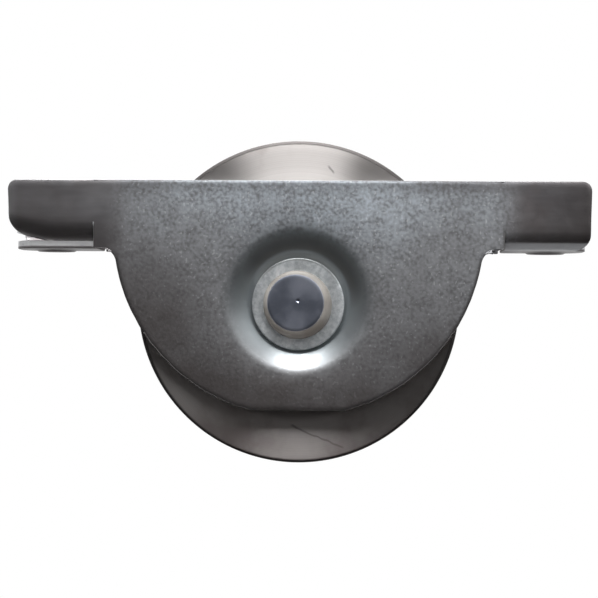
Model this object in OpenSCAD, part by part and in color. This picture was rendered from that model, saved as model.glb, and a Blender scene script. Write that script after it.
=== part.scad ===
// Recessed door roller: a grooved wheel on a shielded ball bearing, held by a riveted axle
// between two alike pressed half shells, whose wing flanges overlap in pairs.
// The origin is midway between the fixing holes, on the seating plane under the lower flanges.
// X runs along the wings, Y along the axle from front to rear, and Z up to the rail side.

/* [Wheel] */
// Outside diameter of the wheel
wheel_d = 80; // [76:1:84]
// Width of the wheel over both rims
wheel_w = 20; // [19.5:0.5:23]
// Radius of the round rail groove
groove_r = 8.5; // [7:0.5:8.5]
// Depth of the rail groove below the rims
groove_depth = 8; // [6:0.5:8]
// Chamfer on the edges of the rims and the bore
rim_chamfer = 0.6; // [0.3:0.1:0.8]
// Free space between the wheel and each cheek
side_gap = 1.2; // [1:0.1:2.4]

/* [Bearing] */
// Bore of the inner ring
bearing_bore = 20; // [19:0.5:21]
// Outside diameter of the outer ring
bearing_od = 47; // [46:0.5:49]
// Width of both rings
bearing_w = 14; // [13:0.5:14.5]
// Diameter of each ball
ball_d = 7.938; // [7.4:0.1:8.2]
// Clearance between a ball and each race
race_gap = 0.03; // [0.02:0.01:0.05]
// Sheet thickness of the ball cage
cage_t = 0.6; // [0.5:0.05:0.7]
// Sheet thickness of each shield
shield_t = 0.6; // [0.4:0.05:0.7]
// Thickness of the retaining ring
snap_t = 1.75; // [1.5:0.05:1.9]

/* [Axle and washers] */
// Diameter of the axle ends that pass through the cheeks
tenon_d = 12.5; // [11:0.5:13.5]
// Diameter of a formed head where it meets its washer
head_d = 16.8; // [16:0.2:18]
// Diameter of the flat end of a formed head
head_end_d = 12.7; // [11:0.1:13.5]
// Height of a formed head
head_h = 2.2; // [1.8:0.1:2.6]
// Diameter of the turning mark in the middle of a head
pip_d = 1.8; // [1:0.1:2.4]
// Outside diameter of each washer
washer_d = 23; // [22:0.2:24]
// Thickness of each washer
washer_t = 1.2; // [1:0.1:1.8]

/* [Half shells] */
// Thickness of the pressed sheet
sheet_t = 2; // [1.8:0.1:2.4]
// Length over both wings
plate_len = 145; // [142:1:152]
// Height of the top edge above the axle
top_rise = 30; // [28:0.5:34]
// Radius of the round cheek
cheek_r = 46; // [44.5:0.5:46.5]
// Height of the cheek's centre above the axle
cheek_rise = 17.5; // [16.5:0.5:18.5]
// Drop of the cheek's flat foot below the axle
foot_drop = 27; // [24:0.5:27.5]
// Height of the seating plane above the axle
seat_rise = 13; // [12:0.5:14]
// Width of flat sheet between the cheek and each fold
root_w = 5; // [4.8:0.1:6]
// Fillet in the corner between the cheek and each wing
root_fillet = 4; // [3:0.25:4]
// Inside radius of the folds
bend_in = 2.5; // [2:0.1:3]
// Free space between a flange tip and the fold of the other half
tip_gap = 0.5; // [0.3:0.1:1]
// Distance from the end of a wing at which its upper flange starts to lift
lift_len = 14; // [12:0.5:15]
// Radius of the lift
lift_r = 42; // [38:1:60]
// Radius of the upper corners of the wings
top_corner = 2.5; // [1.5:0.25:3.5]
// Radius of the lower corners of the wings, at the fold
fold_corner = 3.5; // [2.5:0.25:4]
// Radius of the outer corner of each flange, seen from above
tip_corner = 7; // [5:0.5:8]
// Radius of the inner corner of each flange, seen from above
heel_corner = 1.5; // [1:0.25:2.5]
// Slope of the dimple's wall against the cheek
dimple_slope = 35; // [32:1:40]
// Inside radius of the dimple's two bends
dimple_bend = 1.2; // [0.8:0.1:1.6]

/* [Fixing] */
// Distance of each fixing hole outside the middle of its flange
hole_shift = 0.25; // [0:0.05:1]
// Diameter of the fixing holes
hole_d = 9; // [7:0.5:10]

/* [Fits] */
// Radial clearance of the axle in the inner ring and in the holes it passes
axle_gap = 0.03; // [0.01:0.01:0.08]
// Radial clearance left where a ring or a shield is pressed in
press_gap = 0.01; // [0.005:0.005:0.02]
// Radial clearance of the washer in the dimple
washer_gap = 0.7; // [0.65:0.05:1]
// Radial play of each washer on the axle, by which it hangs down
washer_play = 0.6; // [0.1:0.1:0.6]
// Clearance of the balls in the cage
pocket_gap = 0.1; // [0.05:0.01:0.15]
// Radial clearance of each shield round the inner ring
shield_gap = 0.25; // [0.2:0.05:0.4]
// Clearance of the retaining ring in its groove
snap_gap = 0.1; // [0.05:0.01:0.15]

/* [Hidden] */
$fn = 96;
over = 1;
ball_count = 8;
ball_names = [for (n = [1:ball_count]) str("ball_", n)];

// Heights in the part's own frame, where the seating plane is 0
axle_z = -seat_rise;
top_z = top_rise - seat_rise;
cheek_z = cheek_rise - seat_rise;
foot_z = -foot_drop - seat_rise;

// Distances from the middle plane along the axle
bearing_half = bearing_w / 2;
wheel_half = wheel_w / 2;
wall_in = wheel_half + side_gap;
wall_out = wall_in + sheet_t;
floor_out = bearing_half + sheet_t;
washer_out = floor_out + washer_t;

// Wings and folds
wing_end = plate_len / 2;
fold_start = cheek_r + root_w;
bend_out = bend_in + sheet_t;
fold_y = -wall_out + bend_out;
tip_y = wall_in - bend_in - tip_gap;
lift_top = lift_r - sqrt(pow(lift_r - bend_out, 2) - lift_len * lift_len) + over / 2;
fold_strip = lift_top - bend_out + over;
hole_x = (fold_start + wing_end) / 2 + hole_shift;

// Dimple, as a section from the axle outwards
half_slope = tan(dimple_slope / 2);
dimple_bend_out = dimple_bend + sheet_t;
floor_r = washer_d / 2 + washer_gap;
washer_chamfer = 0.4;
boss_r = floor_r + sheet_t * half_slope;
dimple_run = (wall_in - bearing_half) / tan(dimple_slope);
dimple_join = floor_r + dimple_run + dimple_bend_out * half_slope + over;

// Bearing
pitch_r = (bearing_bore + bearing_od) / 4;
ball_r = ball_d / 2;
race_share = 0.52;
land_share = 0.3;
race_r = race_share * ball_d;
inner_race_r = pitch_r - ball_r - race_gap + race_r;
outer_race_r = pitch_r + ball_r + race_gap - race_r;
inner_land = pitch_r - land_share * ball_d;
outer_land = pitch_r + land_share * ball_d;
ring_chamfer = 0.6;
shield_set = 0.5;
shield_rim_t = 1;
shield_rim_w = 0.8;
shield_seat_w = 1.1;
shield_seat = outer_land + shield_seat_w;
pocket_r = ball_r + pocket_gap;
cage_half_w = 1.9;
rivet_r = 0.6;
rivet_head_r = 1;
rivet_head_t = 0.4;
ball_step = 360 / ball_count;

// Bore of the wheel and its retaining ring
bore_r = bearing_od / 2;
lip_set = 1.6;
lip_r = outer_land + lip_set;
snap_depth = 1.25;
snap_groove_r = bore_r + snap_depth;
snap_w = 2.7;
snap_taper = 0.8;
snap_lug_r = 2.3;
snap_lug_hole_r = 1.1;
snap_opening = 6;

// Turns a piece made round Z so that it lies round the axle, with its far end to the rear
module on_axle() {
  translate([0, 0, axle_z])
    rotate([-90, 0, 0])
      children();
}

// Points along an arc of a circle
function arc(centre, r, from, to, steps = 8) =
  [for (i = [0:steps]) centre + r * [cos(from + (to - from) * i / steps), sin(from + (to - from) * i / steps)]];

// Section of the pressed dimple, as distance from the axle against distance from the middle plane
module dimple_section() {
  rim_out = floor_r + dimple_run;
  rim_in = boss_r + dimple_run;
  s = dimple_slope;
  outside = concat(
    arc([floor_r - dimple_bend * half_slope, floor_out + dimple_bend], dimple_bend, -90, s - 90),
    arc([rim_out + dimple_bend_out * half_slope, wall_out - dimple_bend_out], dimple_bend_out, s + 90, 90));
  inside = concat(
    arc([rim_in + dimple_bend * half_slope, wall_in - dimple_bend], dimple_bend, 90, s + 90),
    arc([boss_r - dimple_bend_out * half_slope, bearing_half + dimple_bend_out], dimple_bend_out, s - 90, -90));
  hole_r = tenon_d / 2 + axle_gap;
  polygon(concat([[hole_r, floor_out]], outside, [[dimple_join, wall_out], [dimple_join, wall_in]], inside,
                 [[hole_r, bearing_half]]));
}

// Fills the corner between the cheek's edge and the lower edge of a wing at the given height
module root_corner(level) {
  reach = cheek_r + root_fillet;
  drop = cheek_z - level + root_fillet;
  middle = [sqrt(reach * reach - drop * drop), level - root_fillet];
  touch = [0, cheek_z] + (middle - [0, cheek_z]) * cheek_r / reach;
  difference() {
    polygon([[middle[0], level], [touch[0] - over, level + over], touch]);
    translate(middle)
      circle(r = root_fillet);
  }
}

// Flat part of one wing with its root, to the right of the middle
module wing_outline(level) {
  flat_z = level + lift_top;
  difference() {
    union() {
      translate([0, flat_z])
        square([wing_end, top_z - flat_z]);
      translate([0, level])
        square([fold_start, top_z - level - top_corner]);
      root_corner(level);
    }
    translate([wing_end - top_corner, top_z - top_corner])
      difference() {
        square(top_corner + over);
        circle(r = top_corner);
      }
  }
}

// Lower half of the round cheek, with its foot cut flat; the wings cover the upper half
module cheek_outline() {
  intersection() {
    translate([0, cheek_z])
      circle(r = cheek_r);
    translate([-cheek_r, foot_z])
      square([2 * cheek_r, cheek_z - foot_z]);
  }
}

// Folded edge of a wing as a section across it: a strip of wall, the bend and the flange
module fold_section(level) {
  bend_z = level + bend_out;
  translate([-wall_out, bend_z])
    square([sheet_t, fold_strip]);
  intersection() {
    translate([fold_y, bend_z])
      difference() {
        circle(r = bend_out);
        circle(r = bend_in);
      }
    translate([-wall_out, level])
      square(bend_out);
  }
  translate([fold_y, level])
    square([tip_y - fold_y, sheet_t]);
}

// Straight run of the fold along X
module straight_fold(level, from, to) {
  translate([from, 0, 0])
    rotate([90, 0, 90])
      linear_extrude(to - from)
        fold_section(level);
}

// End of the fold that lifts away from the flange below it
module lifted_fold(level) {
  turn = asin((lift_len + over) / (lift_r - bend_out - fold_strip));
  translate([wing_end - lift_len, 0, level + lift_r])
    rotate([90, 0, 0])
      rotate([0, 0, -90])
        rotate_extrude(angle = turn)
          translate([lift_r + level, 0])
            mirror([1, 1])
              fold_section(level);
}

// What the rounded corner takes off the end of a fold
module fold_corner_cut(level, lifted) {
  run = lift_len - fold_corner;
  raise = lifted ? lift_r - sqrt(lift_r * lift_r - run * run) : 0;
  translate([wing_end - fold_corner, fold_y, level + raise + fold_corner])
    rotate([90, 0, 0])
      linear_extrude(bend_out + over)
        difference() {
          translate([0, -fold_corner - over])
            square([fold_corner + 2 * over, fold_corner + over]);
          circle(r = fold_corner);
        }
}

// What a rounded corner takes off the tip of a flange, at one end of it
module tip_corner_cut(x, level, side, r) {
  translate([x - side * r, tip_y - r, level - over])
    linear_extrude(lift_top + 2 * over)
      difference() {
        translate([side > 0 ? 0 : -r - over, 0])
          square(r + over);
        circle(r = r);
      }
}

// One wing's fold and flange, to the right of the middle
module wing_fold(level, lifted) {
  straight_to = lifted ? wing_end - lift_len : wing_end;
  difference() {
    union() {
      straight_fold(level, fold_start, straight_to);
      if (lifted) lifted_fold(level);
    }
    translate([wing_end, -wall_out - over, level - over])
      cube([lift_len, 2 * wall_out, top_z + over]);
    fold_corner_cut(level, lifted);
    tip_corner_cut(wing_end, level, 1, tip_corner);
    tip_corner_cut(fold_start, level, -1, heel_corner);
    translate([hole_x, 0, level - over])
      cylinder(d = hole_d, h = sheet_t + 4 * over);
  }
}

// One pressed half shell, on the front side: the right flange is the lower one, the left lies above
module half_shell() {
  difference() {
    translate([0, -wall_in, 0])
      rotate([90, 0, 0])
        linear_extrude(sheet_t) {
          cheek_outline();
          wing_outline(0);
          mirror([1, 0])
            wing_outline(sheet_t);
        }
    on_axle()
      translate([0, 0, -wall_out - over])
        cylinder(r = dimple_join - over / 2, h = sheet_t + 2 * over);
  }
  on_axle()
    mirror([0, 0, 1])
      rotate_extrude()
        dimple_section();
  wing_fold(0, false);
  mirror([1, 0, 0])
    wing_fold(sheet_t, true);
}

module front_shell() {
  color([0.50, 0.51, 0.53])
    half_shell();
}

module rear_shell() {
  color([0.47, 0.48, 0.50])
    rotate([0, 0, 180])
      half_shell();
}

// Wheel with its rail groove, bearing bore, rear lip and the groove of the retaining ring
module wheel() {
  r = wheel_d / 2;
  c = rim_chamfer;
  ring_edge = -bearing_half - snap_t - snap_gap;
  section = [
    [r, c - wheel_half], [r, wheel_half - c], [r - c, wheel_half], [lip_r + c, wheel_half],
    [lip_r, wheel_half - c], [lip_r, bearing_half], [bore_r, bearing_half], [bore_r, -bearing_half],
    [snap_groove_r, -bearing_half], [snap_groove_r, ring_edge], [bore_r, ring_edge],
    [bore_r, -wheel_half + c / 2], [bore_r + c / 2, -wheel_half], [r - c, -wheel_half]];
  color([0.66, 0.64, 0.62])
    on_axle()
      difference() {
        rotate_extrude()
          polygon(section);
        rotate_extrude()
          translate([r - groove_depth + groove_r, 0])
            circle(r = groove_r);
      }
}

// Outer ring with its race and the two seats of the shields
module outer_ring() {
  out = bore_r - press_gap;
  seat = bearing_half - shield_set - shield_rim_t;
  side = [[out - ring_chamfer, bearing_half], [shield_seat, bearing_half], [shield_seat, seat], [outer_land, seat]];
  other = [[outer_land, -seat], [shield_seat, -seat], [shield_seat, -bearing_half],
           [out - ring_chamfer, -bearing_half]];
  outside = [[out, ring_chamfer - bearing_half], [out, bearing_half - ring_chamfer]];
  color([0.72, 0.72, 0.73])
    on_axle()
      difference() {
        rotate_extrude()
          polygon(concat(outside, side, other));
        rotate_extrude()
          translate([outer_race_r, 0])
            circle(r = race_r);
      }
}

// Inner ring with its race
module inner_ring() {
  c = ring_chamfer;
  r = bearing_bore / 2;
  section = [
    [r + c, bearing_half], [inner_land - c, bearing_half], [inner_land, bearing_half - c],
    [inner_land, c - bearing_half], [inner_land - c, -bearing_half], [r + c, -bearing_half],
    [r, c - bearing_half], [r, bearing_half - c]];
  color([0.72, 0.72, 0.73])
    on_axle()
      difference() {
        rotate_extrude()
          polygon(section);
        rotate_extrude()
          translate([inner_race_r, 0])
            circle(r = race_r);
      }
}

// Repeats a piece at each ball, or halfway between the balls
module round_the_cage(offset_steps = 0) {
  for (i = [0:ball_count - 1])
    rotate(ball_step * (i + offset_steps))
      translate([pitch_r, 0, 0])
        children();
}

module ball(n) {
  color([0.80, 0.80, 0.81])
    on_axle()
      rotate(ball_step * (n - 1))
        translate([pitch_r, 0, 0])
          sphere(r = ball_r);
}

// One half of the ribbon cage, pressed into pockets that hold the balls
module cage_half() {
  deep = pocket_r + cage_t;
  difference() {
    intersection() {
      union() {
        cylinder(r = pitch_r + cage_half_w, h = cage_t);
        round_the_cage()
          sphere(r = deep);
      }
      difference() {
        cylinder(r = pitch_r + cage_half_w, h = deep + over);
        translate([0, 0, -over])
          cylinder(r = pitch_r - cage_half_w, h = deep + 3 * over);
      }
    }
    round_the_cage()
      sphere(r = pocket_r);
    round_the_cage(0.5)
      translate([0, 0, -over])
        cylinder(r = rivet_r + press_gap, h = cage_t + 2 * over);
  }
}

module cage_front() {
  color([0.70, 0.68, 0.62])
    on_axle()
      mirror([0, 0, 1])
        cage_half();
}

module cage_rear() {
  color([0.70, 0.68, 0.62])
    on_axle()
      cage_half();
}

// Rivets that hold the two cage halves together
module cage_rivets() {
  color([0.62, 0.60, 0.55])
    on_axle()
      round_the_cage(0.5) {
        cylinder(r = rivet_r, h = 2 * cage_t, center = true);
        for (side = [-1, 1])
          translate([0, 0, side * (cage_t + rivet_head_t / 2)])
            cylinder(r = rivet_head_r, h = rivet_head_t, center = true);
      }
}

// Pressed shield with a thicker rim that sits in the outer ring, on the rear side
module shield() {
  face = bearing_half - shield_set;
  out = shield_seat - press_gap;
  in = inner_land + shield_gap;
  rotate_extrude()
    polygon([[in, face - shield_t], [out - shield_rim_w, face - shield_t], [out - shield_rim_w, face - shield_rim_t],
             [out, face - shield_rim_t], [out, face], [in, face]]);
}

module shield_front() {
  color([0.55, 0.55, 0.56])
    on_axle()
      mirror([0, 0, 1])
        shield();
}

module shield_rear() {
  color([0.55, 0.55, 0.56])
    on_axle()
      shield();
}

// Internal spring ring, widest opposite its opening, with a plier hole in each lug
module retaining_ring() {
  out = snap_groove_r - snap_gap;
  lug_centre = out - snap_lug_r;
  lug_turn = asin((snap_opening / 2 + snap_lug_r) / lug_centre);
  color([0.30, 0.30, 0.32])
    on_axle()
      translate([0, 0, -bearing_half - snap_t])
        difference() {
          union() {
            difference() {
              cylinder(r = out, h = snap_t);
              translate([0, -snap_taper, -over])
                cylinder(r = out - snap_w - snap_taper, h = snap_t + 2 * over);
            }
            for (side = [-1, 1])
              rotate(side * lug_turn)
                translate([0, -lug_centre, 0])
                  cylinder(r = snap_lug_r, h = snap_t);
          }
          translate([-snap_opening / 2, -out - over, -over])
            cube([snap_opening, out, snap_t + 2 * over]);
          for (side = [-1, 1])
            rotate(side * lug_turn)
              translate([0, -lug_centre, -over])
                cylinder(r = snap_lug_hole_r, h = snap_t + 2 * over);
        }
}

// Half of the axle's section: shoulder, tenon, and the formed head with its turning mark
function axle_half() =
  let (end = washer_out + head_h, crown = (head_d - head_end_d) / 2)
  concat(
    [[0, end - pip_d / 2], [pip_d / 2, end]],
    [for (a = [90:-15:0]) [head_end_d / 2 + crown * cos(a), washer_out + head_h * sin(a)]],
    [[tenon_d / 2, washer_out], [tenon_d / 2, bearing_half], [bearing_bore / 2 - axle_gap, bearing_half]]);

module axle() {
  half = axle_half();
  count = len(half);
  other = [for (i = [count - 1:-1:0]) [half[i][0], -half[i][1]]];
  color([0.45, 0.46, 0.48])
    on_axle()
      rotate_extrude()
        polygon(concat(half, other));
}

// Washer between the dimple's floor and a formed head, on the rear side, hanging down by its play
module washer() {
  r = washer_d / 2;
  in = tenon_d / 2 + axle_gap + washer_play;
  c = washer_chamfer;
  translate([0, washer_play, 0])
    rotate_extrude()
      polygon([[in, floor_out], [r - c, floor_out], [r, floor_out + c], [r, washer_out - c], [r - c, washer_out],
               [in, washer_out]]);
}

module front_washer() {
  color([0.62, 0.63, 0.65])
    on_axle()
      mirror([0, 0, 1])
        washer();
}

module rear_washer() {
  color([0.62, 0.63, 0.65])
    on_axle()
      washer();
}

front_shell();
rear_shell();
wheel();
outer_ring();
inner_ring();
cage_front();
cage_rear();
cage_rivets();
shield_front();
shield_rear();
retaining_ring();
axle();
front_washer();
rear_washer();
for (n = [1:ball_count]) ball(n);
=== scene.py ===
import math
import bpy
import bmesh
import numpy as np
from mathutils import Matrix, Vector


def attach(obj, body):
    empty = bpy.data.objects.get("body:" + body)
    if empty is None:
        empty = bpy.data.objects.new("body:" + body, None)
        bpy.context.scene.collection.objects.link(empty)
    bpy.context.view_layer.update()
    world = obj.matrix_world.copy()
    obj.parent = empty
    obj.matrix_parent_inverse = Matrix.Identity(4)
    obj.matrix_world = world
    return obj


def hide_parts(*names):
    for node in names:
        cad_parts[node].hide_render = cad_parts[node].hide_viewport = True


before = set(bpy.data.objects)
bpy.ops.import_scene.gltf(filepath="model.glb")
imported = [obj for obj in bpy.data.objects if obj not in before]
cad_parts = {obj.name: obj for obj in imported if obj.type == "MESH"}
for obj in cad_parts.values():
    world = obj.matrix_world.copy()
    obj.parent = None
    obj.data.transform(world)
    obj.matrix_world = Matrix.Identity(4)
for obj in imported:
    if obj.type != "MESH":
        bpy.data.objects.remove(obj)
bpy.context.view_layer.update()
scene = bpy.context.scene
scene.view_settings.view_transform = "Standard"
mm = 0.001
weld = 0.002 * mm  # points closer than this become one
print("frame loaded:", len(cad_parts), "solids")


# Four-sided faces between neighbouring points of a rows x columns grid; a closed way joins last to first
def gridFaces(rows, cols, closeRows, closeCols):
    rowSteps, colSteps = rows - (not closeRows), cols - (not closeCols)
    i, j = (n.ravel() for n in np.meshgrid(np.arange(rowSteps), np.arange(colSteps), indexing="ij"))
    iNext, jNext = (i + 1) % rows, (j + 1) % cols
    faces = np.stack([i * cols + j, i * cols + jNext, iNext * cols + jNext, iNext * cols + j], 1)
    share = np.stack([[j, i], [j + 1, i], [j + 1, i + 1], [j, i + 1]], 0).transpose(2, 0, 1).astype(float)
    return faces, share / [colSteps, rowSteps]


# One mesh object from several grids of points in millimetres, welded where they meet. Each patch is
# (points[rows, cols, 3], rows closed, columns closed); UV is the place on its grid. outward names a place
# and the way in which the face nearest to it looks.
def pieceFromPatches(name, patches, outward):
    points, faces, uvs, start = [], [], [], 0
    for grid, closeRows, closeCols in patches:
        rows, cols = grid.shape[:2]
        face, share = gridFaces(rows, cols, closeRows, closeCols)
        points.append(grid.reshape(-1, 3))
        faces.append(face + start)
        uvs.append(share.reshape(-1, 2))
        start += rows * cols
    points, faces, uvs = np.concatenate(points) * mm, np.concatenate(faces), np.concatenate(uvs)
    mesh = bpy.data.meshes.new(name)
    mesh.from_pydata(points.tolist(), [], faces.tolist())
    mesh.uv_layers.new(name="surface").data.foreach_set("uv", uvs.ravel())
    work = bmesh.new()
    work.from_mesh(mesh)
    bmesh.ops.remove_doubles(work, verts=work.verts, dist=weld)
    bmesh.ops.recalc_face_normals(work, faces=work.faces)
    work.to_mesh(mesh)
    work.free()
    count = len(mesh.polygons)
    centre, normal = np.empty(count * 3), np.empty(count * 3)
    mesh.polygons.foreach_get("center", centre)
    mesh.polygons.foreach_get("normal", normal)
    place, way = np.array(outward[0]) * mm, np.array(outward[1])
    nearest = np.argmin(((centre.reshape(-1, 3) - place) ** 2).sum(1))
    if normal.reshape(-1, 3)[nearest] @ way < 0:
        mesh.flip_normals()
    mesh.polygons.foreach_set("use_smooth", np.ones(count, bool))
    mesh.update()
    piece = bpy.data.objects.new(name, mesh)
    scene.collection.objects.link(piece)
    return piece


# Points on a circle of radius r round (cx, cz), from one angle to another in degrees
def arcPoints(cx, cz, r, start, end, steps):
    a = np.radians(np.linspace(start, end, steps + 1))
    return np.stack([cx + r * np.cos(a), cz + r * np.sin(a)], 1)


# Straight run of points between two places
def linePoints(a, b, steps):
    t = np.linspace(0, 1, steps + 1)[:, None]
    return (1 - t) * np.array(a, float) + t * np.array(b, float)


# Surface between four edge curves: the mean of both straight blends, less the blend of the corners
def coonsPatch(top, bottom, left, right):
    u = np.linspace(0, 1, len(top))[None, :, None]
    v = np.linspace(0, 1, len(left))[:, None, None]
    across = (1 - v) * top[None] + v * bottom[None]
    along = (1 - u) * left[:, None] + u * right[:, None]
    corners = ((1 - v) * ((1 - u) * top[0] + u * top[-1]) + v * ((1 - u) * bottom[0] + u * bottom[-1]))
    return across + along - corners


# Closed or open section turned round the axle: r(s), y(s) carried through a full turn
def turnedPatch(profile, steps, axleZ, closed):
    a = np.linspace(0, 2 * math.pi, steps, endpoint=False)
    r, y = profile[:, 0][:, None], profile[:, 1][:, None]
    grid = np.stack([r * np.cos(a), y + 0 * a, axleZ + r * np.sin(a)], -1)
    return grid, closed, True


# A closed section's corners made round: each gives way to an arc that touches both its sides
def roundSection(corners, radii, steps):
    out = []
    count = len(corners)
    for n, (corner, r) in enumerate(zip(corners, radii)):
        p = np.array(corner, float)
        if r <= 0:
            out.append(p[None])
            continue
        a = np.array(corners[n - 1], float) - p
        b = np.array(corners[(n + 1) % count], float) - p
        a, b = a / np.linalg.norm(a), b / np.linalg.norm(b)
        half = math.acos(np.clip(a @ b, -1, 1)) / 2
        middle = p + (a + b) / np.linalg.norm(a + b) * r / math.sin(half)
        start, end = p + a * r / math.tan(half) - middle, p + b * r / math.tan(half) - middle
        a0 = math.atan2(start[1], start[0])
        turn = (math.atan2(end[1], end[0]) - a0 + math.pi) % (2 * math.pi) - math.pi
        t = a0 + turn * np.linspace(0, 1, steps + 1)
        out.append(middle + r * np.stack([np.cos(t), np.sin(t)], 1))
    return np.concatenate(out)


# Points added along a closed section so that no step is longer than the given length
def denser(section, longest):
    ends = np.roll(section, -1, 0)
    counts = [max(1, math.ceil(np.linalg.norm(b - a) / longest)) for a, b in zip(section, ends)]
    return np.concatenate([linePoints(a, b, count)[:-1] for a, b, count in zip(section, ends, counts)])


# Sizes of a half shell in millimetres and degrees: cheek, wing, flange with its hole, dimple, rolled edges
shell = dict(
    thick=2.0, wall=13.2, top=17.0, foot=-40.0, axle=-13.0, cheekR=46.0, cheekMid=4.5, fillet=4.0,
    foldStart=51.0, slit=0.12, wingEnd=72.5, endLean=0.5, bend=4.5, topCorner=2.5, foldCorner=3.5,
    crowding=1.4, tip=8.2, tipCorner=7.0, heelCorner=1.5, flangeEnd=71.6, flareLen=5.0,
    liftLen=14.0, liftR=42.0, holeX=62.0, holeR=4.5, burr=0.6, burrLen=0.7, edgeRound=0.2, edgeAngle=50.0,
    boreR=6.28, floorR=12.2, floorDeep=9.0, slope=37.0, innerBend=1.2, outerBend=4.2, sink=0.5, sinkLen=3.6,
    roll=0.22, rollLen=1.3, rollShort=0.6, rollFrom=40.0, rollFade=10.0, rollFoot=3.0,
    topRows=(1.5, 1.0, 0.6, 0.3, 0.0), edgeWave=0.06, waveTop=-4.0, waveFade=6.0,
    waves=((0, 0.9, 0.0, 1.0), (0, 2.3, 1.0, 0.6), (1, 1.7, 0.0, 0.7)))  # axis, pace, start, share


# Depth by which a sheared edge rolls inwards: the square of the nearness to the edge
def rolled(gap):
    return shell["roll"] * np.clip(1 - gap / shell["rollLen"], 0, 1) ** 2


# Depth of the pressed dimple against distance from the axle: floor, bend, straight wall, bend, sheet
def dimpleProfile():
    s = shell
    half = math.tan(math.radians(s["slope"] / 2))
    run = (s["wall"] - s["floorDeep"]) / math.tan(math.radians(s["slope"]))
    floor = linePoints((s["boreR"], s["floorDeep"]), (s["floorR"] - s["innerBend"] * half, s["floorDeep"]), 5)
    lower = arcPoints(s["floorR"] - s["innerBend"] * half, s["floorDeep"] + s["innerBend"], s["innerBend"],
                      -90, s["slope"] - 90, 6)
    upper = arcPoints(s["floorR"] + run + s["outerBend"] * half, s["wall"] - s["outerBend"], s["outerBend"],
                      s["slope"] + 90, 90 + math.degrees(math.atan2(s["sink"], s["sinkLen"])), 16)
    wall = linePoints(lower[-1], upper[0], 4)
    profile = np.concatenate([floor[:-1], lower, wall[1:-1], upper])
    rise = (s["wall"] - s["sink"] - s["floorDeep"]) / (profile[-1, 1] - s["floorDeep"])
    profile[:, 1] = s["floorDeep"] + rise * (profile[:, 1] - s["floorDeep"])
    return profile


# Heights of the rows on the flat of a wing, from the start of its bend up to the top edge, where the roll
# needs them closer
def wingRows(level):
    nearTop = shell["top"] - np.array(shell["topRows"])
    return np.concatenate([np.linspace(level + shell["bend"], nearTop[0], 9), nearTop[1:]])


# Right half of the flat outline, from the middle of the foot to the middle of the top edge, and for each
# point the angle on the dimple's circle from which a straight line runs to it and how far its edge is rolled
def sideOutline(level):
    s = shell
    footX = math.sqrt(s["cheekR"] ** 2 - (s["foot"] - s["cheekMid"]) ** 2)
    reach, drop = s["cheekR"] + s["fillet"], s["cheekMid"] + s["fillet"]
    middle = (math.sqrt(reach ** 2 - drop ** 2), -s["fillet"])
    footAngle = math.degrees(math.atan2(s["foot"] - s["cheekMid"], footX))
    touchAngle = math.degrees(math.atan2(-drop, middle[0]))
    slitX, bendZ = s["foldStart"] - s["slit"], level + s["bend"]
    rows = wingRows(level)
    root = np.stack([np.full(len(rows), s["foldStart"]), rows], 1)
    above = 52  # from here on a line comes down to the root of the fold
    runs = [  # points, first and last angle, first and last share of the rolled edge
        (linePoints((0, s["foot"]), (footX, s["foot"]), 9), -90, -72, 1, 1),
        (arcPoints(0, s["cheekMid"], s["cheekR"], footAngle, touchAngle, 64), -72, 18, 1, 1),
        (arcPoints(middle[0], middle[1], s["fillet"], touchAngle + 180, 90, 20), 18, above, 1, 0),
        (linePoints((middle[0], 0), (slitX, 0), 2), above, above + 2, 0, 0),
        (linePoints((slitX, 0), (slitX, bendZ - s["slit"]), 5), above + 2, above + 5, 0, 0),
        # the rounded end of the slit
        (np.array([(slitX, bendZ - s["slit"]), (slitX + 0.3 * s["slit"], bendZ - 0.25 * s["slit"]),
                   (s["foldStart"], bendZ)]), above + 5, above + 6, 0, 0),
        (root, above + 6, above + 14, 0, 0),
        (linePoints((s["foldStart"], s["top"]), (0, s["top"]), 40), above + 14, 90, 0, 0),
    ]
    points = np.concatenate([run[0][:-1] for run in runs])
    angles = np.concatenate([np.linspace(run[1], run[2], len(run[0]))[:-1] for run in runs])
    free = np.concatenate([np.linspace(run[3], run[4], len(run[0]))[:-1] for run in runs])
    return points, angles, free


# Depth of the cheek's dish at a place on the flat, so that the wings join it without a step
def dishAt(x, z):
    rim = dimpleProfile()[-1, 0]
    return shell["sink"] * np.exp(-(np.hypot(x, z - shell["axle"]) - rim) / shell["sinkLen"])


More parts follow.
